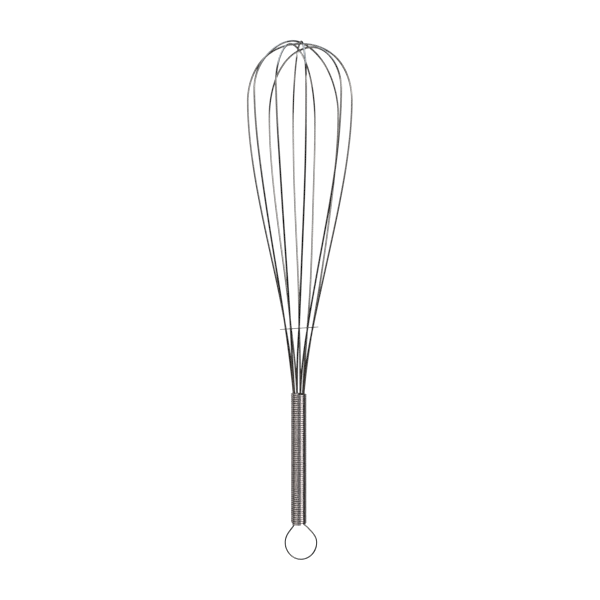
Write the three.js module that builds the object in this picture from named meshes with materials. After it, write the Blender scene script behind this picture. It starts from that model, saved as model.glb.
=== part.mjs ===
// Balloon whisk, all stainless steel.
//
// Five springy wire loops form the balloon. Their ten legs run down through a thin spacer
// disc and stand in a ring inside the grip, around a core tube. The grip itself is one wire
// wound tightly round the ring of legs, turn against turn. A bent wire hanging loop comes
// out of the grip's lower end.
//
// Millimetres, +Z up. The origin is on the whisk's axis at half the grip's length. +Z runs
// from the grip to the balloon, and the hanging loop lies in the XZ plane.

import * as THREE from 'three';

// ---- driving dimensions ---------------------------------------------------------------

const GRIP_LENGTH = 126.4;
const GRIP_RADIUS = 7.75;

const COIL_WIRE_RADIUS = 0.9;
const COIL_TURNS = 64.15;
const COIL_TOP_AZIMUTH = THREE.MathUtils.degToRad(-90);
const COIL_STEPS_PER_TURN = 12;
const COIL_WIRE_SIDES = 5;

const LEG_WIRE_RADIUS = 0.9;
const LEG_WIRE_SIDES = 8;
const LEG_RING_RADIUS = 4.9;
const LEG_BOTTOM = -52;
const GRIP_TWIST = -18;

const MOUTH_BEND_BOTTOM = 58.2;
const MOUTH_BEND_TOP = 67.2;
const MOUTH_BEND_RADIUS = 5.45;
const MOUTH_SLOPE = 0.095;
const MOUTH_LOWER_PULL = 3;
const MOUTH_UPPER_PULL = 2.5;

const BALLOON_RADIUS = 49.9;
const BALLOON_WIDEST = 343;
const BALLOON_TOP = 400.3;
const FLARE_LOWER_PULL = 95.6;
const FLARE_UPPER_PULL = 82.7;
const AZIMUTH_SETTLED = 293;

const SIDESTEP = 1;
const SIDESTEP_BOTTOM = 78;
const SIDESTEP_TOP = 178;

const DISC_HEIGHT = 124.9;
const DISC_OFFSET = 0.5;
const DISC_RADIUS = 18.6;
const DISC_THICKNESS = 0.8;
const DISC_HOLE_RADIUS = 1.35;
const DISC_TILT = THREE.MathUtils.degToRad(-3.8);

const CORE_RADIUS = 3.8;
const CORE_BORE_RADIUS = 3;
const CORE_BOTTOM = -28;
const CORE_TOP = 56;

const EYE_WIRE_RADIUS = 0.85;
const EYE_WIRE_SIDES = 8;
const EYE_STEPS = 96;
const EYE_ARM_OFFSET = 2.9;
const EYE_ARM_TOP = -32;
const EYE_ARM_BEND = -55;
const EYE_ARM_HOOK = -62.6;
const EYE_ARM_HOOK_OFFSET = 4.4;
const EYE_ARM_PULL = 3;
const EYE_HOOK_UPPER_PULL = 2.5;
const EYE_HOOK_LOWER_PULL = 1.2;
const EYE_NECK_HEIGHT = -66.6;
const EYE_NECK_UPPER_PULL = 2.4;
const EYE_NECK_LOWER_PULL = 4.7;
const EYE_LEFT_NECK = { x: -6.1, lean: 0.8 };
const EYE_RIGHT_NECK = { x: 8.7, lean: 0.95 };
const EYE_CENTRE_X = 2.2;
const EYE_CENTRE_HEIGHT = -80.8;
const EYE_HALF_WIDTH = 15.1;
const EYE_DEPTH = 16.3;
const EYE_SIDE_PULL = 5.5;
const QUARTER_ROUND_PULL = 0.5523;

// The loops, bent by hand and so no two alike. Each has the azimuths in degrees of its two
// legs in the balloon, the slots they take in the disc, how far each half carries on upwards
// at the shoulder and level at the crown, how far the loop passes below the highest one where
// all five cross, and how far its top leans along X.
const LOOPS = [
  {
    name: 'balloon_wire_1',
    legs: [-144.3, 37.1],
    slots: [-162, 18],
    shoulders: [30, 21.7],
    crowns: [18, 35.5],
    drop: 0,
    lean: -1.6,
  },
  {
    name: 'balloon_wire_2',
    legs: [-5.3, 181],
    slots: [-18, 162],
    shoulders: [19.2, 21.4],
    crowns: [39.8, 38.3],
    drop: 2.05,
    lean: 0.1,
  },
  {
    name: 'balloon_wire_3',
    legs: [-82.9, 97.3],
    slots: [-90, 90],
    shoulders: [19.8, 19.8],
    crowns: [31.3, 32.9],
    drop: 4.1,
    lean: -0.8,
  },
  {
    name: 'balloon_wire_4',
    legs: [-113.2, 70],
    slots: [-126, 54],
    shoulders: [19, 19.8],
    crowns: [31.9, 34.9],
    drop: 6.2,
    lean: -2.2,
  },
  {
    name: 'balloon_wire_5',
    legs: [-40.8, 128.5],
    slots: [-54, 126],
    shoulders: [19.9, 19.8],
    crowns: [35.8, 31.7],
    drop: 8.3,
    lean: 0,
  },
];

// ---- curves ---------------------------------------------------------------------------

// A curve whose steps follow its own parameter, so that they crowd where it bends.
class SteppedCurve extends THREE.Curve {
  getPointAt(u, target) {
    return this.getPoint(u, target);
  }

  getTangentAt(u, target) {
    return this.getTangent(u, target);
  }
}

function cubic(start, startControl, endControl, end) {
  return new THREE.CubicBezierCurve(
    new THREE.Vector2(...start),
    new THREE.Vector2(...startControl),
    new THREE.Vector2(...endControl),
    new THREE.Vector2(...end),
  );
}

// A leg from the bend at the grip's mouth out to the widest level, as (distance from the
// axis, height).
function flareCurve() {
  return cubic(
    [MOUTH_BEND_RADIUS, MOUTH_BEND_TOP],
    [MOUTH_BEND_RADIUS + MOUTH_SLOPE * FLARE_LOWER_PULL, MOUTH_BEND_TOP + FLARE_LOWER_PULL],
    [BALLOON_RADIUS, BALLOON_WIDEST - FLARE_UPPER_PULL],
    [BALLOON_RADIUS, BALLOON_WIDEST],
  );
}

// Half a loop, also as (distance from the axis, height): straight in the grip, bent out at
// its mouth, flared to the widest level, and over the dome to the axis.
function halfLoopPieces(top, shoulder, crown) {
  const ringFoot = new THREE.Vector2(LEG_RING_RADIUS, LEG_BOTTOM);
  const ringHead = new THREE.Vector2(LEG_RING_RADIUS, MOUTH_BEND_BOTTOM);
  return [
    { steps: 1, curve: new THREE.LineCurve(ringFoot, ringHead) },
    {
      steps: 4,
      curve: cubic(
        [LEG_RING_RADIUS, MOUTH_BEND_BOTTOM],
        [LEG_RING_RADIUS, MOUTH_BEND_BOTTOM + MOUTH_LOWER_PULL],
        [MOUTH_BEND_RADIUS - MOUTH_SLOPE * MOUTH_UPPER_PULL, MOUTH_BEND_TOP - MOUTH_UPPER_PULL],
        [MOUTH_BEND_RADIUS, MOUTH_BEND_TOP],
      ),
    },
    { steps: 16, curve: flareCurve() },
    {
      steps: 13,
      curve: cubic(
        [BALLOON_RADIUS, BALLOON_WIDEST],
        [BALLOON_RADIUS, BALLOON_WIDEST + shoulder],
        [crown, top],
        [0, top],
      ),
    },
  ];
}

function totalSteps(pieces) {
  return pieces.reduce((sum, piece) => sum + piece.steps, 0);
}

// The point a fraction of the way along the half loop, and how far over the dome it is.
function halfLoopPoint(pieces, fraction) {
  let step = fraction * totalSteps(pieces);
  let index = 0;
  while (index < pieces.length - 1 && step > pieces[index].steps) {
    step -= pieces[index].steps;
    index += 1;
  }
  const along = Math.min(step / pieces[index].steps, 1);
  const onDome = index === pieces.length - 1;
  return { point: pieces[index].curve.getPoint(along), domeFraction: onDome ? along : 0 };
}

// How far the legs stand to one side of the grip's axis at a height above its mouth.
function sidestep(height) {
  return SIDESTEP * THREE.MathUtils.smoothstep(height, SIDESTEP_BOTTOM, SIDESTEP_TOP);
}

// One whole balloon wire, up its first leg, over the top and down its second leg. The ring
// of legs is turned by GRIP_TWIST inside the grip and untwists up to the slots in the disc.
// Above the disc each leg turns to its own azimuth in the balloon, and on the dome to the
// straight line that both halves of the loop share at the top.
class BalloonLoop extends SteppedCurve {
  constructor({ legs, slots, shoulders, crowns, drop, lean }) {
    super();
    this.legs = legs;
    this.slots = slots;
    this.lean = lean;
    this.halves = [0, 1].map((side) => {
      return halfLoopPieces(BALLOON_TOP - drop, shoulders[side], crowns[side]);
    });
    this.topAzimuth = (legs[0] + legs[1] - 180) / 2;
  }

  azimuth(side, height, domeFraction) {
    const { clamp, inverseLerp, lerp, smoothstep } = THREE.MathUtils;
    const untwisted = clamp(inverseLerp(MOUTH_BEND_BOTTOM, DISC_HEIGHT, height), 0, 1);
    const slot = this.slots[side] + GRIP_TWIST * (1 - untwisted);
    const rise = clamp(inverseLerp(DISC_HEIGHT, AZIMUTH_SETTLED, height), 0, 1);
    const settled = 1 - (1 - rise) ** 2;
    const shared = smoothstep(domeFraction, 0, 1);
    const leg = lerp(slot, this.legs[side], settled);
    const top = this.topAzimuth + 180 * side;
    return THREE.MathUtils.degToRad(lerp(leg, top, shared));
  }

  shift(height) {
    const rise = Math.max(0, height - DISC_HEIGHT) / (BALLOON_TOP - DISC_HEIGHT);
    return sidestep(height) + this.lean * rise ** 2;
  }

  getPoint(t, target = new THREE.Vector3()) {
    const side = t > 0.5 ? 1 : 0;
    const fraction = 1 - Math.abs(2 * t - 1);
    const { point, domeFraction } = halfLoopPoint(this.halves[side], fraction);
    const angle = this.azimuth(side, point.y, domeFraction);
    const x = point.x * Math.cos(angle) + this.shift(point.y);
    return target.set(x, point.x * Math.sin(angle), point.y);
  }
}

// The grip's winding: a right-handed helix about the Z axis. Its section keeps one corner
// pointing straight out.
class GripHelix extends SteppedCurve {
  constructor() {
    super();
    this.radius = GRIP_RADIUS - COIL_WIRE_RADIUS;
    this.height = GRIP_LENGTH - 2 * COIL_WIRE_RADIUS;
  }

  azimuth(t) {
    return COIL_TOP_AZIMUTH - 2 * Math.PI * COIL_TURNS * (1 - t);
  }

  getPoint(t, target = new THREE.Vector3()) {
    const angle = this.azimuth(t);
    const x = this.radius * Math.cos(angle);
    const y = this.radius * Math.sin(angle);
    return target.set(x, y, (t - 0.5) * this.height);
  }

  computeFrenetFrames(segments) {
    const frames = { tangents: [], normals: [], binormals: [] };
    const rise = this.height / (2 * Math.PI * COIL_TURNS);
    for (let i = 0; i <= segments; i += 1) {
      const angle = this.azimuth(i / segments);
      const outward = new THREE.Vector3(Math.cos(angle), Math.sin(angle), 0);
      const along = new THREE.Vector3(-outward.y, outward.x, rise / this.radius).normalize();
      frames.tangents.push(along);
      frames.normals.push(outward);
      frames.binormals.push(new THREE.Vector3().crossVectors(along, outward));
    }
    return frames;
  }
}

// ---- geometry helpers -----------------------------------------------------------------

function circlePoints(radius, sides, centreX = 0, centreY = 0) {
  const points = [];
  for (let i = 0; i < sides; i += 1) {
    const angle = (2 * Math.PI * i) / sides;
    const x = centreX + radius * Math.cos(angle);
    const y = centreY + radius * Math.sin(angle);
    points.push(new THREE.Vector2(x, y));
  }
  return points;
}

function wireAlong(path, radius, sides, steps) {
  const section = new THREE.Shape(circlePoints(radius, sides));
  return new THREE.ExtrudeGeometry(section, { steps, extrudePath: path });
}

function steel(color, roughness) {
  return new THREE.MeshStandardMaterial({ color, roughness, metalness: 1 });
}

function part(name, geometry, material) {
  const mesh = new THREE.Mesh(geometry, material);
  mesh.name = name;
  return mesh;
}

// ---- sub-parts ------------------------------------------------------------------------

function balloonWire(loop) {
  const path = new BalloonLoop(loop);
  const steps = 2 * totalSteps(path.halves[0]);
  const geometry = wireAlong(path, LEG_WIRE_RADIUS, LEG_WIRE_SIDES, steps);
  return part(loop.name, geometry, steel(0xb4b3b1, 0.22));
}

function legRingRadiusAtDisc() {
  const flare = flareCurve();
  let below = 0;
  let above = 1;
  for (let i = 0; i < 30; i += 1) {
    const middle = (below + above) / 2;
    if (flare.getPoint(middle).y < DISC_HEIGHT) below = middle;
    else above = middle;
  }
  return flare.getPoint(below).x;
}

// A thin round plate with one hole for each leg, tipped slightly about the Y axis and a
// little off the grip's axis.
function spacerDisc() {
  const ringRadius = legRingRadiusAtDisc();
  const ringOffset = sidestep(DISC_HEIGHT) - DISC_OFFSET;
  const outline = new THREE.Shape(circlePoints(DISC_RADIUS, 48));
  for (const slot of LOOPS.flatMap((loop) => loop.slots)) {
    const angle = THREE.MathUtils.degToRad(slot);
    const x = ringOffset + ringRadius * Math.cos(angle);
    const y = ringRadius * Math.sin(angle);
    outline.holes.push(new THREE.Path(circlePoints(DISC_HOLE_RADIUS, 12, x, y)));
  }
  const geometry = new THREE.ExtrudeGeometry(outline, {
    depth: DISC_THICKNESS,
    bevelEnabled: false,
  });
  geometry.translate(0, 0, -DISC_THICKNESS / 2);
  const disc = part('spacer_disc', geometry, steel(0xc2c2c1, 0.3));
  disc.position.set(DISC_OFFSET, 0, DISC_HEIGHT);
  disc.rotation.y = DISC_TILT;
  return disc;
}

function gripCoil() {
  const steps = Math.round(COIL_TURNS * COIL_STEPS_PER_TURN);
  const geometry = wireAlong(new GripHelix(), COIL_WIRE_RADIUS, COIL_WIRE_SIDES, steps);
  return part('grip_coil', geometry, steel(0xaaa7a5, 0.28));
}

// An open-ended tube that keeps the legs standing in their ring.
function coreTube() {
  const profile = [
    new THREE.Vector2(CORE_BORE_RADIUS, CORE_BOTTOM),
    new THREE.Vector2(CORE_RADIUS, CORE_BOTTOM),
    new THREE.Vector2(CORE_RADIUS, CORE_TOP),
    new THREE.Vector2(CORE_BORE_RADIUS, CORE_TOP),
    new THREE.Vector2(CORE_BORE_RADIUS, CORE_BOTTOM),
  ];
  const geometry = new THREE.LatheGeometry(profile, 24);
  geometry.rotateX(Math.PI / 2);
  return part('core_tube', geometry, steel(0x9b9b9a, 0.4));
}

// One side of the hanging loop, from the arm's end inside the grip down to the widest point
// of the round part. The arm hooks out under the lowest turn of the winding to the neck, and
// the neck leans outwards by so much in X for each millimetre down.
function eyeArm(side, neck) {
  const widestX = EYE_CENTRE_X + side * EYE_HALF_WIDTH;
  const armX = side * EYE_ARM_OFFSET;
  const hookX = side * EYE_ARM_HOOK_OFFSET;
  const point = (x, z) => new THREE.Vector3(x, 0, z);
  const alongNeck = (down) => point(neck.x + side * neck.lean * down, EYE_NECK_HEIGHT - down);
  return [
    new THREE.LineCurve3(point(armX, EYE_ARM_TOP), point(armX, EYE_ARM_BEND)),
    new THREE.CubicBezierCurve3(
      point(armX, EYE_ARM_BEND),
      point(armX, EYE_ARM_BEND - EYE_ARM_PULL),
      point(hookX, EYE_ARM_HOOK + EYE_HOOK_UPPER_PULL),
      point(hookX, EYE_ARM_HOOK),
    ),
    new THREE.CubicBezierCurve3(
      point(hookX, EYE_ARM_HOOK),
      point(hookX, EYE_ARM_HOOK - EYE_HOOK_LOWER_PULL),
      alongNeck(-EYE_NECK_UPPER_PULL),
      alongNeck(0),
    ),
    new THREE.CubicBezierCurve3(
      alongNeck(0),
      alongNeck(EYE_NECK_LOWER_PULL),
      point(widestX, EYE_CENTRE_HEIGHT + EYE_SIDE_PULL),
      point(widestX, EYE_CENTRE_HEIGHT),
    ),
  ];
}

function reversed(curve) {
  if (curve.isLineCurve3) return new THREE.LineCurve3(curve.v2, curve.v1);
  return new THREE.CubicBezierCurve3(curve.v3, curve.v2, curve.v1, curve.v0);
}

// The lower half of the eye, as two quarter ellipses.
function eyeBottom() {
  const point = (x, z) => new THREE.Vector3(EYE_CENTRE_X + x, 0, EYE_CENTRE_HEIGHT + z);
  const quarter = (side) => [
    point(side * EYE_HALF_WIDTH, 0),
    point(side * EYE_HALF_WIDTH, -QUARTER_ROUND_PULL * EYE_DEPTH),
    point(side * QUARTER_ROUND_PULL * EYE_HALF_WIDTH, -EYE_DEPTH),
    point(0, -EYE_DEPTH),
  ];
  return [
    new THREE.CubicBezierCurve3(...quarter(-1)),
    reversed(new THREE.CubicBezierCurve3(...quarter(1))),
  ];
}

function hangingLoop() {
  const path = new THREE.CurvePath();
  const leftArm = eyeArm(-1, EYE_LEFT_NECK);
  const rightArm = eyeArm(1, EYE_RIGHT_NECK).map(reversed).reverse();
  for (const curve of [...leftArm, ...eyeBottom(), ...rightArm]) path.add(curve);
  const geometry = wireAlong(path, EYE_WIRE_RADIUS, EYE_WIRE_SIDES, EYE_STEPS);
  return part('hanging_loop', geometry, steel(0xa9a6a3, 0.25));
}

// ---- assembly -------------------------------------------------------------------------

const whisk = new THREE.Group();
for (const loop of LOOPS) whisk.add(balloonWire(loop));
whisk.add(spacerDisc());
whisk.add(gripCoil());
whisk.add(coreTube());
whisk.add(hangingLoop());

export default whisk;
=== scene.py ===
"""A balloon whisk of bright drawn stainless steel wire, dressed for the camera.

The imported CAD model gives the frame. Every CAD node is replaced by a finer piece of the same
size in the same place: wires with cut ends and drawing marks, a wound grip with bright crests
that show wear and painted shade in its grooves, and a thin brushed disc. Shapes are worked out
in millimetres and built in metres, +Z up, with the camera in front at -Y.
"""

import math

import bmesh
import bpy
from mathutils import Matrix, Vector, noise


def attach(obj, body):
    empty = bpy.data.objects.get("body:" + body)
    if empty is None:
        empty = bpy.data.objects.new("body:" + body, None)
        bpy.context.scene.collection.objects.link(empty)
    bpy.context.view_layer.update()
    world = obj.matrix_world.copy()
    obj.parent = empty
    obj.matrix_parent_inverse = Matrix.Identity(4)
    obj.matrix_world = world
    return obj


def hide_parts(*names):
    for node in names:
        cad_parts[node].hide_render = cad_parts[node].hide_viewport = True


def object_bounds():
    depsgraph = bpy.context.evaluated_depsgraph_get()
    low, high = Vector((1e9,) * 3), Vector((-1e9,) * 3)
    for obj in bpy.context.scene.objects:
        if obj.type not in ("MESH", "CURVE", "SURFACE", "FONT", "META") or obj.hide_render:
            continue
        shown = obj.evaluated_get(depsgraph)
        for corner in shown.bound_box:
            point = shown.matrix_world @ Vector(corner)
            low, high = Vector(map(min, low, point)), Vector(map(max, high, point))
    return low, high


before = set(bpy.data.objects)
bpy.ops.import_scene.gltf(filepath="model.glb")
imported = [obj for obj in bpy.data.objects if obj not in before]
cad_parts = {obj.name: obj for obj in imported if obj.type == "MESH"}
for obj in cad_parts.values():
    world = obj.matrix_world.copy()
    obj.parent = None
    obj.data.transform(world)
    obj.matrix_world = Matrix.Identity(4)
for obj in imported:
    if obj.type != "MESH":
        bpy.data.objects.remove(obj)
cad_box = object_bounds()

MM = 0.001

# ---- sizes of the whisk, in millimetres -----------------------------------------------

GRIP_LENGTH = 126.4
GRIP_RADIUS = 7.75
COIL_WIRE_RADIUS = 0.94
COIL_TURNS = 64.15
COIL_TOP_AZIMUTH = math.radians(-90)

LEG_WIRE_RADIUS = 0.9
LEG_RING_RADIUS = 4.9
LEG_BOTTOM = -52
GRIP_TWIST = -18

MOUTH_BEND_BOTTOM = 58.2
MOUTH_BEND_TOP = 67.2
MOUTH_BEND_RADIUS = 5.45
MOUTH_SLOPE = 0.095
MOUTH_LOWER_PULL = 3
MOUTH_UPPER_PULL = 2.5

BALLOON_RADIUS = 49.9
BALLOON_WIDEST = 343
BALLOON_TOP = 400.3
FLARE_LOWER_PULL = 95.6
FLARE_UPPER_PULL = 82.7
AZIMUTH_SETTLED = 293

SIDESTEP = 1
SIDESTEP_BOTTOM = 78
SIDESTEP_TOP = 178

DISC_HEIGHT = 124.9
DISC_OFFSET = 0.5
DISC_RADIUS = 18.6
DISC_THICKNESS = 0.8
DISC_HOLE_RADIUS = 1.35
DISC_EDGE = 0.12
DISC_TILT = math.radians(-3.8)

CORE_RADIUS = 3.8
CORE_BORE_RADIUS = 3
CORE_BOTTOM = -28
CORE_TOP = 56
CORE_EDGE = 0.15

EYE_WIRE_RADIUS = 0.85
EYE_ARM_OFFSET = 2.9
EYE_ARM_TOP = -32
EYE_ARM_BEND = -55
EYE_ARM_HOOK = -62.6
EYE_ARM_HOOK_OFFSET = 4.4
EYE_ARM_PULL = 3
EYE_HOOK_UPPER_PULL = 2.5
EYE_HOOK_LOWER_PULL = 1.2
EYE_NECK_HEIGHT = -66.6
EYE_NECK_UPPER_PULL = 2.4
EYE_NECK_LOWER_PULL = 4.7
EYE_LEFT_NECK = {"x": -6.1, "lean": 0.8}
EYE_RIGHT_NECK = {"x": 8.7, "lean": 0.95}
EYE_CENTRE_X = 2.2
EYE_CENTRE_HEIGHT = -80.8
EYE_HALF_WIDTH = 15.1
EYE_DEPTH = 16.3
EYE_SIDE_PULL = 5.5
QUARTER_ROUND_PULL = 0.5523

# The brown film low in the neck: the heights that it comes on between, and how much rougher
# it makes the wire.
FILM_TOP = 118
FILM_BOTTOM = 72
FILM_ROUGHNESS = 0.22

# How finely each stretch of wire is cut.
FOOT_STEPS = 6
BEND_STEPS = 14
FLARE_STEPS = 62
DOME_STEPS = 52
EYE_STEPS = 22
COIL_STEPS_PER_TURN = 36

# How many sides each round piece has.
LEG_WIRE_SIDES = 16
EYE_WIRE_SIDES = 18
COIL_WIRE_SIDES = 12
DISC_SIDES = 160
DISC_HOLE_SIDES = 28
CORE_SIDES = 48

# The bead of solder at the winding's foot: its place beside the cut end and its half sizes.
BEAD_SHIFT = Vector((0.1, 0.9, 0.2))
BEAD_SIZE = Vector((0.95, 1.3, 0.75))

# The loops: the azimuths in degrees of the two legs in the balloon, the slots that they take
# in the disc, how far each half carries on upwards at the shoulder and level at the crown,
# how far the loop passes below the highest one, and how far its top leans along X.
LOOPS = [
    {
        "node": "balloon_wire_1",
        "legs": (-144.3, 37.1),
        "slots": (-162, 18),
        "shoulders": (30, 21.7),
        "crowns": (18, 35.5),
        "drop": 0,
        "lean": -1.6,
    },
    {
        "node": "balloon_wire_2",
        "legs": (-5.3, 181),
        "slots": (-18, 162),
        "shoulders": (19.2, 21.4),
        "crowns": (39.8, 38.3),
        "drop": 2.05,
        "lean": 0.1,
    },
    {
        "node": "balloon_wire_3",
        "legs": (-82.9, 97.3),
        "slots": (-90, 90),
        "shoulders": (19.8, 19.8),
        "crowns": (31.3, 32.9),
        "drop": 4.1,
        "lean": -0.8,
    },
    {
        "node": "balloon_wire_4",
        "legs": (-113.2, 70),
        "slots": (-126, 54),
        "shoulders": (19, 19.8),
        "crowns": (31.9, 34.9),
        "drop": 6.2,
        "lean": -2.2,
    },
    {
        "node": "balloon_wire_5",
        "legs": (-40.8, 128.5),
        "slots": (-54, 126),
        "shoulders": (19.9, 19.8),
        "crowns": (35.8, 31.7),
        "drop": 8.3,
        "lean": 0,
    },
]

# ---- small sums -----------------------------------------------------------------------


def clamp01(value):
    return min(1.0, max(0.0, value))


def lerp(a, b, t):
    return a + (b - a) * t


def smoothstep(low, high, value):
    t = clamp01((value - low) / (high - low))
    return t * t * (3 - 2 * t)


def cubic_point(curve, t):
    p0, p1, p2, p3 = curve
    s = 1 - t
    return p0 * s**3 + p1 * 3 * s * s * t + p2 * 3 * s * t * t + p3 * t**3


def straight(start, end):
    """A straight stretch as a cubic with even steps."""
    return (start, start.lerp(end, 1 / 3), start.lerp(end, 2 / 3), end)


# ---- centre lines, in millimetres -----------------------------------------------------


def flare_curve():
    """A leg from the bend at the grip's mouth out to the widest level."""
    bend_top = Vector((MOUTH_BEND_RADIUS, MOUTH_BEND_TOP))
    widest = Vector((BALLOON_RADIUS, BALLOON_WIDEST))
    return (
        bend_top,
        bend_top + Vector((MOUTH_SLOPE, 1)) * FLARE_LOWER_PULL,
        widest - Vector((0, FLARE_UPPER_PULL)),
        widest,
    )


def half_loop(loop, side):
    """Half a loop as (steps, curve) stretches of (distance from the axis, height)."""
    foot = Vector((LEG_RING_RADIUS, LEG_BOTTOM))
    bend_bottom = Vector((LEG_RING_RADIUS, MOUTH_BEND_BOTTOM))
    bend_top = Vector((MOUTH_BEND_RADIUS, MOUTH_BEND_TOP))
    widest = Vector((BALLOON_RADIUS, BALLOON_WIDEST))
    apex = Vector((0, BALLOON_TOP - loop["drop"]))
    bend = (
        bend_bottom,
        bend_bottom + Vector((0, MOUTH_LOWER_PULL)),
        bend_top - Vector((MOUTH_SLOPE, 1)) * MOUTH_UPPER_PULL,
        bend_top,
    )
    dome = (
        widest,
        widest + Vector((0, loop["shoulders"][side])),
        apex + Vector((loop["crowns"][side], 0)),
        apex,
    )
    return [
        (FOOT_STEPS, straight(foot, bend_bottom)),
        (BEND_STEPS, bend),
        (FLARE_STEPS, flare_curve()),
        (DOME_STEPS, dome),
    ]


def sidestep(height):
    """How far the legs stand to one side of the grip's axis at a height above its mouth."""
    return SIDESTEP * smoothstep(SIDESTEP_BOTTOM, SIDESTEP_TOP, height)


def leg_azimuth(loop, side, height, dome_fraction):
    """Untwists from the grip to the disc, settles in the balloon and straightens on top."""
    untwisted = clamp01((height - MOUTH_BEND_BOTTOM) / (DISC_HEIGHT - MOUTH_BEND_BOTTOM))
    slot = loop["slots"][side] + GRIP_TWIST * (1 - untwisted)
    rise = clamp01((height - DISC_HEIGHT) / (AZIMUTH_SETTLED - DISC_HEIGHT))
    leg = lerp(slot, loop["legs"][side], 1 - (1 - rise) ** 2)
    top = (sum(loop["legs"]) - 180) / 2 + 180 * side
    return math.radians(lerp(leg, top, smoothstep(0, 1, dome_fraction)))


def half_loop_points(loop, side):
    """One leg from its foot in the grip to the top of the dome."""
    points = []
    stretches = half_loop(loop, side)
    for index, (steps, curve) in enumerate(stretches):
        on_dome = index == len(stretches) - 1
        for step in range(0 if index == 0 else 1, steps + 1):
            t = step / steps
            radius, height = cubic_point(curve, t)
            angle = leg_azimuth(loop, side, height, t if on_dome else 0)
            rise = max(0, height - DISC_HEIGHT) / (BALLOON_TOP - DISC_HEIGHT)
            shift = sidestep(height) + loop["lean"] * rise**2
            x = radius * math.cos(angle) + shift
            points.append(Vector((x, radius * math.sin(angle), height)))
    return points


def loop_points(loop):
    return half_loop_points(loop, 0) + half_loop_points(loop, 1)[-2::-1]


def eye_arm(side, neck):
    """One side of the hanging loop, from inside the grip down to its widest point."""
    down = Vector((0, 0, -1))
    arm_top = Vector((side * EYE_ARM_OFFSET, 0, EYE_ARM_TOP))
    arm_end = Vector((side * EYE_ARM_OFFSET, 0, EYE_ARM_BEND))
    hook = Vector((side * EYE_ARM_HOOK_OFFSET, 0, EYE_ARM_HOOK))
    neck_point = Vector((neck["x"], 0, EYE_NECK_HEIGHT))
    neck_way = Vector((side * neck["lean"], 0, -1))
    widest = Vector((EYE_CENTRE_X + side * EYE_HALF_WIDTH, 0, EYE_CENTRE_HEIGHT))
    bend = (
        arm_end,
        arm_end + down * EYE_ARM_PULL,
        hook - down * EYE_HOOK_UPPER_PULL,
        hook,
    )
    throat = (
        hook,
        hook + down * EYE_HOOK_LOWER_PULL,
        neck_point - neck_way * EYE_NECK_UPPER_PULL,
        neck_point,
    )
    shoulder = (
        neck_point,
        neck_point + neck_way * EYE_NECK_LOWER_PULL,
        widest - down * EYE_SIDE_PULL,
        widest,
    )
    return [straight(arm_top, arm_end), bend, throat, shoulder]


def eye_quarter(side):
    """A quarter of the eye's round bottom, from the widest point to the lowest."""
    centre = Vector((EYE_CENTRE_X, 0, EYE_CENTRE_HEIGHT))
    across = Vector((side * EYE_HALF_WIDTH, 0, 0))
    down = Vector((0, 0, -EYE_DEPTH))
    return (
        centre + across,
        centre + across + down * QUARTER_ROUND_PULL,
        centre + across * QUARTER_ROUND_PULL + down,
        centre + down,
    )


def eye_points():
    """The hanging loop's one wire, down its left side, round the bottom and up its right."""
    left = eye_arm(-1, EYE_LEFT_NECK) + [eye_quarter(-1)]
    right_downwards = eye_arm(1, EYE_RIGHT_NECK) + [eye_quarter(1)]
    right = [curve[::-1] for curve in right_downwards[::-1]]
    points = [left[0][0]]
    for curve in left + right:
        points += [cubic_point(curve, (step + 1) / EYE_STEPS) for step in range(EYE_STEPS)]
    return points


def coil_points():
    """The winding's centre line from its foot to its top, centred on the origin."""
    steps = round(COIL_TURNS * COIL_STEPS_PER_TURN)
    radius = GRIP_RADIUS - COIL_WIRE_RADIUS
    height = GRIP_LENGTH - 2 * COIL_WIRE_RADIUS
    points = []
    for step in range(steps + 1):
        t = step / steps
        angle = COIL_TOP_AZIMUTH - math.tau * COIL_TURNS * (1 - t)
        across = Vector((math.cos(angle), math.sin(angle), 0))
        points.append(across * radius + Vector((0, 0, (t - 0.5) * height)))
    return points


def leg_ring_radius_at_disc():
    """Where the flare passes the disc, found by halving."""
    flare = flare_curve()
    below, above = 0.0, 1.0
    for _ in range(30):
        middle = (below + above) / 2
        if cubic_point(flare, middle).y < DISC_HEIGHT:
            below = middle
        else:
            above = middle
    return cubic_point(flare, below).x


# ---- meshes ---------------------------------------------------------------------------


def finish_mesh(name, mesh, material, sharp_angle=40):
    mesh.update()
    mesh.shade_smooth()
    mesh.set_sharp_from_angle(angle=math.radians(sharp_angle))
    mesh.materials.append(material)
    piece = bpy.data.objects.new(name, mesh)
    bpy.context.scene.collection.objects.link(piece)
    return piece


def sweep_frames(points, radial):
    """A side and an up direction across the wire at each point of its centre line."""
    frames = []
    side = None
    for index, point in enumerate(points):
        before = points[max(index - 1, 0)]
        after = points[min(index + 1, len(points) - 1)]
        tangent = (after - before).normalized()
        if radial:
            side = Vector((point.x, point.y, 0))
        elif side is None:
            side = Vector((0, -1, 0)) if abs(tangent.y) < 0.9 else Vector((1, 0, 0))
        side = (side - tangent * side.dot(tangent)).normalized()
        frames.append((tangent, side, tangent.cross(side)))
    return frames


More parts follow.
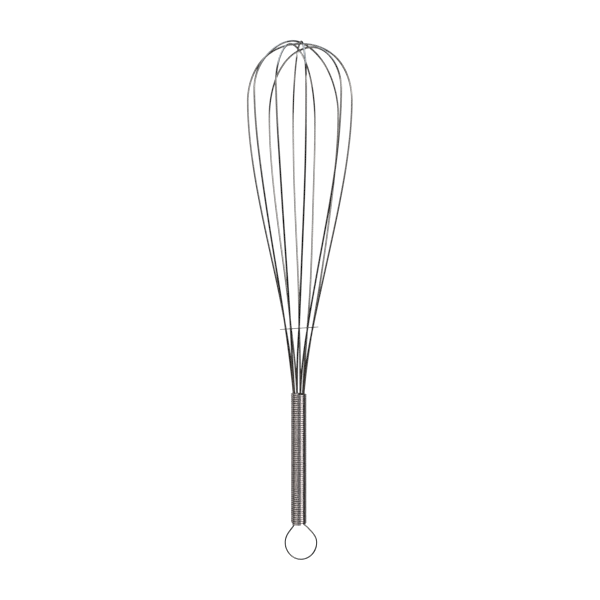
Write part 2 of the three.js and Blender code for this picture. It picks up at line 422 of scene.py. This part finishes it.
def wire_mesh(name, points, radius, sides, radial=False):
    """A round wire with softly broken cut ends. U runs once round it, V along it in mm."""
    chamfer = radius * 0.25
    frames = sweep_frames(points, radial)
    rings = []
    start_tangent, end_tangent = frames[0][0], frames[-1][0]
    rings.append((points[0], frames[0], radius - chamfer))
    rings.append((points[0] + start_tangent * chamfer, frames[0], radius))
    rings += [(p, f, radius) for p, f in zip(points[1:-1], frames[1:-1])]
    rings.append((points[-1] - end_tangent * chamfer, frames[-1], radius))
    rings.append((points[-1], frames[-1], radius - chamfer))

    vertices, lengths, travelled = [], [], 0.0
    for index, (centre, (_, side, up), size) in enumerate(rings):
        if index:
            travelled += (centre - rings[index - 1][0]).length
        lengths.append(travelled)
        for corner in range(sides):
            angle = math.tau * corner / sides
            offset = side * math.cos(angle) + up * math.sin(angle)
            vertices.append((centre + offset * size) * MM)

    faces, uvs = [], []
    for ring in range(len(rings) - 1):
        for corner in range(sides):
            following = (corner + 1) % sides
            here, above = ring * sides, (ring + 1) * sides
            faces.append((here + corner, here + following, above + following, above + corner))
            left, right = corner / sides, (corner + 1) / sides
            low, high = lengths[ring], lengths[ring + 1]
            uvs += [(left, low), (right, low), (right, high), (left, high)]
    last = (len(rings) - 1) * sides
    faces.append(tuple(range(sides))[::-1])
    faces.append(tuple(last + corner for corner in range(sides)))
    uvs += [(corner / sides, 0) for corner in range(sides)][::-1]
    uvs += [(corner / sides, travelled) for corner in range(sides)]

    mesh = bpy.data.meshes.new(name)
    mesh.from_pydata(vertices, [], faces)
    layer = mesh.uv_layers.new(name="wire")
    layer.data.foreach_set("uv", [value for uv in uvs for value in uv])
    return mesh


def disc_mesh(name):
    """The spacer disc with its ten holes and softly broken edges, as a filled curve."""
    curve = bpy.data.curves.new(name, "CURVE")
    curve.dimensions = "2D"
    curve.fill_mode = "BOTH"
    curve.extrude = (DISC_THICKNESS / 2 - DISC_EDGE) * MM
    curve.bevel_depth = DISC_EDGE * MM
    curve.bevel_resolution = 3
    curve.offset = -DISC_EDGE * MM
    curve.resolution_u = 1

    def add_circle(x, y, radius, corners):
        spline = curve.splines.new("POLY")
        spline.points.add(corners - 1)
        for corner, point in enumerate(spline.points):
            angle = math.tau * corner / corners
            place = Vector((x + radius * math.cos(angle), y + radius * math.sin(angle), 0)) * MM
            point.co = (*place, 1)
        spline.use_cyclic_u = True

    add_circle(0, 0, DISC_RADIUS, DISC_SIDES)
    ring_radius = leg_ring_radius_at_disc()
    ring_offset = sidestep(DISC_HEIGHT) - DISC_OFFSET
    for loop in LOOPS:
        for slot in loop["slots"]:
            angle = math.radians(slot)
            x = ring_offset + ring_radius * math.cos(angle)
            y = ring_radius * math.sin(angle)
            add_circle(x, y, DISC_HOLE_RADIUS, DISC_HOLE_SIDES)

    flat = bpy.data.objects.new(name + "_outline", curve)
    bpy.context.scene.collection.objects.link(flat)
    bpy.context.view_layer.update()
    graph = bpy.context.evaluated_depsgraph_get()
    mesh = bpy.data.meshes.new_from_object(flat.evaluated_get(graph))
    bpy.data.objects.remove(flat)
    bpy.data.curves.remove(curve)
    centre = Vector((DISC_OFFSET, 0, DISC_HEIGHT)) * MM
    mesh.transform(Matrix.Translation(centre) @ Matrix.Rotation(DISC_TILT, 4, "Y"))
    mesh.materials.clear()
    mesh.name = name
    return mesh


def core_tube_mesh(name):
    """An open-ended tube with broken edges, turned from its half section."""
    edge = CORE_EDGE
    section = [
        (CORE_BORE_RADIUS, CORE_BOTTOM + edge),
        (CORE_BORE_RADIUS + edge, CORE_BOTTOM),
        (CORE_RADIUS - edge, CORE_BOTTOM),
        (CORE_RADIUS, CORE_BOTTOM + edge),
        (CORE_RADIUS, CORE_TOP - edge),
        (CORE_RADIUS - edge, CORE_TOP),
        (CORE_BORE_RADIUS + edge, CORE_TOP),
        (CORE_BORE_RADIUS, CORE_TOP - edge),
    ]
    vertices = []
    for step in range(CORE_SIDES):
        angle = math.tau * step / CORE_SIDES
        for radius, height in section:
            place = Vector((radius * math.cos(angle), radius * math.sin(angle), height))
            vertices.append(place * MM)
    faces = []
    count = len(section)
    for step in range(CORE_SIDES):
        here, there = step * count, (step + 1) % CORE_SIDES * count
        for index in range(count):
            after = (index + 1) % count
            faces.append((here + index, there + index, there + after, here + after))
    mesh = bpy.data.meshes.new(name)
    mesh.from_pydata(vertices, [], faces)
    return mesh


def braze_mesh(name, centre, seed):
    """A small uneven bead of solder, longer along the wire that it holds."""
    shape = bmesh.new()
    bmesh.ops.create_icosphere(shape, subdivisions=4, radius=1)
    for vertex in shape.verts:
        lump = noise.noise(vertex.co * 1.6 + Vector((seed, 0, 0)))
        vertex.co = vertex.co * (1 + 0.22 * lump)
        vertex.co = (centre + vertex.co * BEAD_SIZE) * MM
    mesh = bpy.data.meshes.new(name)
    shape.to_mesh(mesh)
    shape.free()
    return mesh


# ---- materials ------------------------------------------------------------------------


class Nodes:
    """A material's node tree, with short calls for adding and joining nodes."""

    def __init__(self, name):
        self.material = bpy.data.materials.new(name)
        self.material.use_nodes = True
        self.tree = self.material.node_tree
        self.shader = self.tree.nodes["Principled BSDF"]

    def add(self, kind, inputs=None, **settings):
        node = self.tree.nodes.new(kind)
        for key, value in settings.items():
            setattr(node, key, value)
        for key, value in (inputs or {}).items():
            if isinstance(value, bpy.types.NodeSocket):
                self.tree.links.new(value, node.inputs[key])
            else:
                node.inputs[key].default_value = value
        return node

    def math(self, operation, first, second=0.0):
        return self.add("ShaderNodeMath", {0: first, 1: second}, operation=operation).outputs[0]

    def spread(self, value, low, high, new_low, new_high):
        inputs = {
            "Value": value,
            "From Min": low,
            "From Max": high,
            "To Min": new_low,
            "To Max": new_high,
        }
        return self.add("ShaderNodeMapRange", inputs).outputs["Result"]

    def blend(self, factor, first, second):
        node = self.add("ShaderNodeMix", data_type="RGBA")
        factor_socket, first_socket, second_socket = node.inputs[0], node.inputs[6], node.inputs[7]
        self.tree.links.new(factor, factor_socket)
        for socket, value in ((first_socket, first), (second_socket, second)):
            if isinstance(value, bpy.types.NodeSocket):
                self.tree.links.new(value, socket)
            else:
                socket.default_value = (*value, 1)
        return node.outputs[2]

    def join(self, output, name):
        self.tree.links.new(output, self.shader.inputs[name])


def wire_coordinates(nodes):
    """(cosine, sine, V) of the wire's UV, so that marks meet all the way round."""
    uv = nodes.add("ShaderNodeUVMap", uv_map="wire").outputs[0]
    split = nodes.add("ShaderNodeSeparateXYZ", {0: uv})
    angle = nodes.math("MULTIPLY", split.outputs["X"], math.tau)
    cosine = nodes.math("COSINE", angle)
    sine = nodes.math("SINE", angle)
    return cosine, sine, split.outputs["Y"]


def noise_along(nodes, coordinates, stretch, scale, detail=4.0):
    """Noise on a wire whose marks are drawn out along it by the stretch."""
    cosine, sine, along = coordinates
    squeezed = nodes.math("MULTIPLY", along, 1 / stretch)
    place = nodes.add("ShaderNodeCombineXYZ", {0: cosine, 1: sine, 2: squeezed}).outputs[0]
    inputs = {"Vector": place, "Scale": scale, "Detail": detail, "Roughness": 0.6}
    return nodes.add("ShaderNodeTexNoise", inputs).outputs[0]


def metal(nodes, metallic=1.0, specular=0.5):
    nodes.shader.inputs["Metallic"].default_value = metallic
    nodes.shader.inputs["Specular IOR Level"].default_value = specular


def neck_film(nodes):
    """How much brown film a wire carries, from none in the balloon to most in the neck."""
    place = nodes.add("ShaderNodeTexCoord").outputs["Object"]
    height = nodes.add("ShaderNodeSeparateXYZ", {0: place}).outputs["Z"]
    return nodes.spread(height, FILM_TOP * MM, FILM_BOTTOM * MM, 0, 1)


def drawn_wire(name, light, dark, smooth, rough, film_colour=None):
    """Bright drawn wire: long die streaks, short scuffs and a slow change of tone. With a
    film colour it is also browner and duller low in the neck, where wiping doesn't reach."""
    nodes = Nodes(name)
    metal(nodes)
    coordinates = wire_coordinates(nodes)
    streaks = noise_along(nodes, coordinates, stretch=30, scale=7)
    scuffs = noise_along(nodes, coordinates, stretch=9, scale=3.5, detail=4)
    tone = noise_along(nodes, coordinates, stretch=14, scale=0.9, detail=2)
    colour = nodes.blend(nodes.spread(tone, 0.3, 0.7, 0, 1), dark, light)
    wear = nodes.math("MULTIPLY", streaks, nodes.spread(scuffs, 0.25, 0.75, 0.6, 1.4))
    roughness = nodes.spread(wear, 0.2, 0.8, smooth, rough)
    if film_colour:
        film = neck_film(nodes)
        colour = nodes.blend(film, colour, film_colour)
        roughness = nodes.math("ADD", roughness, nodes.math("MULTIPLY", film, FILM_ROUGHNESS))
    nodes.join(colour, "Base Color")
    nodes.join(roughness, "Roughness")
    bump = nodes.add("ShaderNodeBump", {"Strength": 0.05, "Distance": 0.00004, "Height": streaks})
    nodes.join(bump.outputs[0], "Normal")
    return nodes.material


def wound_wire(name):
    """The grip's wire: bright crests that show wear, and painted shade down in the grooves: a dark
    brown colour where the wire turns away from the outside.
    """
    nodes = Nodes(name)
    metal(nodes)
    coordinates = wire_coordinates(nodes)
    cosine = coordinates[0]
    streaks = noise_along(nodes, coordinates, stretch=22, scale=6)
    patches = noise_along(nodes, coordinates, stretch=40, scale=1.3, detail=3)
    # Painted shade: the cosine round the wire is highest on the outward-facing crests, so the
    # grooves between the turns, where shade falls, go dark; the noise patches add wear at random.
    shade_by_facing_and_wear = nodes.math("ADD", cosine, nodes.math("MULTIPLY", patches, 0.5))
    unshaded_crest = nodes.spread(shade_by_facing_and_wear, 0, 0.9, 0, 1)
    tone = nodes.spread(patches, 0.3, 0.7, 0, 1)
    steel = nodes.blend(tone, (0.50, 0.462, 0.462), (0.62, 0.588, 0.588))
    # The dark brown here is painted shade in the grooves, not the wire's own colour; the grooves
    # are also made rougher below.
    nodes.join(nodes.blend(unshaded_crest, (0.20, 0.175, 0.16), steel), "Base Color")
    groove_roughness = nodes.spread(unshaded_crest, 0, 1, 0.16, 0)
    rough = nodes.math("ADD", nodes.spread(streaks, 0.25, 0.75, 0.17, 0.295), groove_roughness)
    nodes.join(rough, "Roughness")
    bump = nodes.add("ShaderNodeBump", {"Strength": 0.04, "Distance": 0.00004, "Height": streaks})
    nodes.join(bump.outputs[0], "Normal")
    return nodes.material


def brushed_sheet(name):
    """Blanked sheet with straight grain, slightly duller than the wires."""
    nodes = Nodes(name)
    metal(nodes)
    place = nodes.add("ShaderNodeTexCoord").outputs["Object"]
    grain_mapping = {"Vector": place, "Scale": (90, 2600, 90)}
    grain_place = nodes.add("ShaderNodeMapping", grain_mapping).outputs[0]
    grain_inputs = {"Vector": grain_place, "Scale": 1.0, "Detail": 5.0}
    grain = nodes.add("ShaderNodeTexNoise", grain_inputs).outputs[0]
    cloud_inputs = {"Vector": place, "Scale": 120.0, "Detail": 3.0}
    cloud = nodes.add("ShaderNodeTexNoise", cloud_inputs).outputs[0]
    tone = nodes.spread(cloud, 0.3, 0.7, 0, 1)
    colour = nodes.blend(tone, (0.36, 0.36, 0.355), (0.47, 0.47, 0.465))
    nodes.join(colour, "Base Color")
    nodes.join(nodes.spread(grain, 0.3, 0.7, 0.24, 0.42), "Roughness")
    bump = nodes.add("ShaderNodeBump", {"Strength": 0.25, "Distance": 0.00003, "Height": grain})
    nodes.join(bump.outputs[0], "Normal")
    return nodes.material


def rolled_tube(name):
    """Plain tube, with fine turning rings and a dull inside."""
    nodes = Nodes(name)
    metal(nodes)
    place = nodes.add("ShaderNodeTexCoord").outputs["Object"]
    ring_mapping = {"Vector": place, "Scale": (60, 60, 3000)}
    ring_place = nodes.add("ShaderNodeMapping", ring_mapping).outputs[0]
    ring_inputs = {"Vector": ring_place, "Scale": 1.0, "Detail": 4.0}
    rings = nodes.add("ShaderNodeTexNoise", ring_inputs).outputs[0]
    nodes.join(nodes.blend(rings, (0.34, 0.34, 0.33), (0.48, 0.48, 0.47)), "Base Color")
    nodes.join(nodes.spread(rings, 0.3, 0.7, 0.36, 0.52), "Roughness")
    bump = nodes.add("ShaderNodeBump", {"Strength": 0.2, "Distance": 0.00003, "Height": rings})
    nodes.join(bump.outputs[0], "Normal")
    return nodes.material


def braze(name):
    """Heat-tinted solder: straw and rose over grey, with a pitted skin."""
    nodes = Nodes(name)
    metal(nodes)
    place = nodes.add("ShaderNodeTexCoord").outputs["Object"]
    cloud_inputs = {"Vector": place, "Scale": 900.0, "Detail": 3.0}
    cloud = nodes.add("ShaderNodeTexNoise", cloud_inputs).outputs[0]
    pit_inputs = {"Vector": place, "Scale": 5200.0, "Detail": 5.0}
    pits = nodes.add("ShaderNodeTexNoise", pit_inputs).outputs[0]
    tint = nodes.spread(cloud, 0.35, 0.65, 0, 1)
    colour = nodes.blend(tint, (0.55, 0.38, 0.33), (0.60, 0.54, 0.50))
    nodes.join(colour, "Base Color")
    nodes.join(nodes.spread(pits, 0.3, 0.7, 0.3, 0.55), "Roughness")
    bump = nodes.add("ShaderNodeBump", {"Strength": 0.4, "Distance": 0.00008, "Height": pits})
    nodes.join(bump.outputs[0], "Normal")
    return nodes.material


# ---- the whisk ------------------------------------------------------------------------


def place_piece(piece, node):
    """Fixes a piece to the one body, in place of its CAD node if it stands for one."""
    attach(piece, "root")
    if node:
        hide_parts(node)


def build_whisk():
    bright = (0.66, 0.65, 0.64)
    bright_shade = (0.56, 0.545, 0.53)
    duller = (0.58, 0.56, 0.55)
    duller_shade = (0.46, 0.44, 0.43)
    film = (0.60, 0.54, 0.48)
    balloon_steel = drawn_wire("balloon_steel", bright, bright_shade, 0.08, 0.20, film)
    loop_steel = drawn_wire("loop_steel", duller, duller_shade, 0.08, 0.20)

    for loop in LOOPS:
        name = loop["node"] + "_wire"
        mesh = wire_mesh(name, loop_points(loop), LEG_WIRE_RADIUS, LEG_WIRE_SIDES)
        place_piece(finish_mesh(name, mesh, balloon_steel), loop["node"])

    name = "spacer_disc_plate"
    disc = finish_mesh(name, disc_mesh(name), brushed_sheet("disc_steel"), sharp_angle=30)
    place_piece(disc, "spacer_disc")

    name = "grip_coil_winding"
    turns = coil_points()
    winding = wire_mesh(name, turns, COIL_WIRE_RADIUS, COIL_WIRE_SIDES, radial=True)
    place_piece(finish_mesh(name, winding, wound_wire("grip_steel")), "grip_coil")

    name = "core_tube_sleeve"
    core = finish_mesh(name, core_tube_mesh(name), rolled_tube("core_steel"))
    place_piece(core, "core_tube")

    name = "hanging_loop_wire"
    eye = wire_mesh(name, eye_points(), EYE_WIRE_RADIUS, EYE_WIRE_SIDES)
    place_piece(finish_mesh(name, eye, loop_steel), "hanging_loop")

    name = "coil_foot_bead"
    bead = braze_mesh(name, turns[0] + BEAD_SHIFT, seed=3)
    bead_piece = finish_mesh(name, bead, braze("braze_metal"), sharp_angle=180)
    place_piece(bead_piece, None)


# ---- floor, light and camera ----------------------------------------------------------

# In metres from here on.
FLOOR_DROP = 0.11
FLOOR_HALF_SIZE = 9
STUDIO_CENTRE = Vector((0, 0, 0.168))
CAMERA_PLACE = (0.0013, -0.6, 0.1235)
CAMERA_LENS = 37.46
CAMERA_RISE = 0.0495

# Watts for each square metre of an area lamp that give it a radiance of one.
LAMP_WATTS = 4


def build_floor():
    """A wide pale floor below the hanging whisk."""
    lowest = cad_box[0].z - FLOOR_DROP
    size = FLOOR_HALF_SIZE
    mesh = bpy.data.meshes.new("floor")
    corners = [
        (-size, -size, lowest),
        (size, -size, lowest),
        (size, size, lowest),
        (-size, size, lowest),
    ]
    mesh.from_pydata(corners, [], [(0, 1, 2, 3)])
    floor = bpy.data.objects.new("floor", mesh)
    bpy.context.scene.collection.objects.link(floor)
    nodes = Nodes("floor_paper")
    nodes.shader.inputs["Base Color"].default_value = (0.99, 0.99, 0.99, 1)
    nodes.shader.inputs["Roughness"].default_value = 0.9
    nodes.shader.inputs["Specular IOR Level"].default_value = 0.0
    mesh.materials.append(nodes.material)
    floor.visible_glossy = False
    floor.visible_shadow = False


def softbox(name, azimuth, elevation, distance, size, radiance, tint=(1, 1, 1), only=None):
    """An even rectangle of light facing the whisk. Azimuth 0 is the camera's side, 90 its
    right. It lights everything, or only the one piece that it is linked to."""
    width, height = size
    lamp = bpy.data.lights.new(name, "AREA")
    lamp.shape = "RECTANGLE"
    lamp.size = width
    lamp.size_y = height
    lamp.energy = LAMP_WATTS * width * height * radiance
    lamp.color = tint
    a, e = math.radians(azimuth), math.radians(elevation)
    outward = Vector((math.sin(a) * math.cos(e), -math.cos(a) * math.cos(e), math.sin(e)))
    light = bpy.data.objects.new(name, lamp)
    bpy.context.scene.collection.objects.link(light)
    light.location = STUDIO_CENTRE + outward * distance
    light.rotation_mode = "QUATERNION"
    light.rotation_quaternion = outward.to_track_quat("Z", "Y")
    light.visible_camera = False
    if only:
        linked = bpy.data.collections.new(name + "_lights")
        linked.objects.link(only)
        light.light_linking.receiver_collection = linked


def build_world():
    """White for the eye and the floor, and a dim room for the steel to reflect."""
    world = bpy.data.worlds.new("studio")
    world.use_nodes = True
    bpy.context.scene.world = world
    tree = world.node_tree
    output = tree.nodes["World Output"]
    white = tree.nodes["Background"]
    white.inputs["Color"].default_value = (1, 1, 1, 1)
    white.inputs["Strength"].default_value = 1.1
    room = tree.nodes.new("ShaderNodeBackground")
    room.inputs["Color"].default_value = (0.013, 0.012, 0.012, 1)
    path = tree.nodes.new("ShaderNodeLightPath")
    mix = tree.nodes.new("ShaderNodeMixShader")
    tree.links.new(path.outputs["Is Glossy Ray"], mix.inputs[0])
    tree.links.new(white.outputs[0], mix.inputs[1])
    tree.links.new(room.outputs[0], mix.inputs[2])
    tree.links.new(mix.outputs[0], output.inputs["Surface"])


def build_lights():
    """Soft panels high and low all round, with darker bands between them that the wires show
    too, and a tall strip and four panels that are only for the grip."""
    cool = (0.80, 0.90, 1.0)
    warm = (1.0, 0.96, 0.92)
    far = 2.4
    softbox("top_light", 0, 90, far, (2.2, 2.2), 1.05, cool)
    softbox("front_light", 0, 32, far, (1.95, 0.56), 0.72, warm)
    softbox("front_right_light", 45, 32, far, (1.95, 0.56), 0.97)
    softbox("right_light", 45, 18, far, (1.95, 0.6), 0.54)
    softbox("left_light", -45, 18, far, (1.95, 0.6), 0.27, warm)
    softbox("left_side_light", -90, 25, far, (1.95, 1.1), 0.15, warm)
    softbox("back_left_light", -145, 25, far, (2.2, 1.2), 0.3)
    softbox("back_right_light", 145, 25, far, (2.2, 1.2), 0.3)
    softbox("low_back_left_light", -130, -18, far, (2.0, 1.1), 0.45, warm)
    softbox("low_back_right_light", 130, -18, far, (2.0, 1.1), 0.4)
    softbox("low_left_light", -45, -50, far, (1.9, 1.0), 0.8, warm)
    softbox("low_front_light", 0, -50, far, (1.9, 1.0), 0.15)
    softbox("low_back_light", 180, -50, far, (1.9, 1.0), 1.6)
    softbox("floor_bounce", 0, -90, far, (1.2, 1.2), 0.2)

    grip = bpy.data.objects["grip_coil_winding"]
    near = 0.9
    softbox("grip_strip", 51.5, 0, near, (0.32, 3.2), 2.5, (1.0, 0.965, 0.955), only=grip)
    softbox("grip_panel", -36, 0, near, (0.66, 0.3), 3.2, warm, only=grip)
    softbox("grip_side_panel", -72, 0, near, (0.36, 0.85), 0.45, warm, only=grip)
    softbox("grip_back_panel", -120, 0, near, (0.36, 0.85), 0.9, only=grip)
    softbox("grip_front_panel", 6, 0, near, (0.6, 0.85), 0.2, only=grip)


def build_camera():
    """Level, at arm's length in front, with the horizon a little below the middle."""
    data = bpy.data.cameras.new("camera")
    data.sensor_width = 36
    data.lens = CAMERA_LENS
    data.shift_y = CAMERA_RISE
    data.clip_start = 0.01
    camera = bpy.data.objects.new("camera", data)
    bpy.context.scene.collection.objects.link(camera)
    camera.location = CAMERA_PLACE
    camera.rotation_euler = (math.radians(90), 0, 0)
    bpy.context.scene.camera = camera


build_whisk()
build_floor()
build_world()
build_lights()
build_camera()
bpy.context.scene.view_settings.view_transform = "Standard"
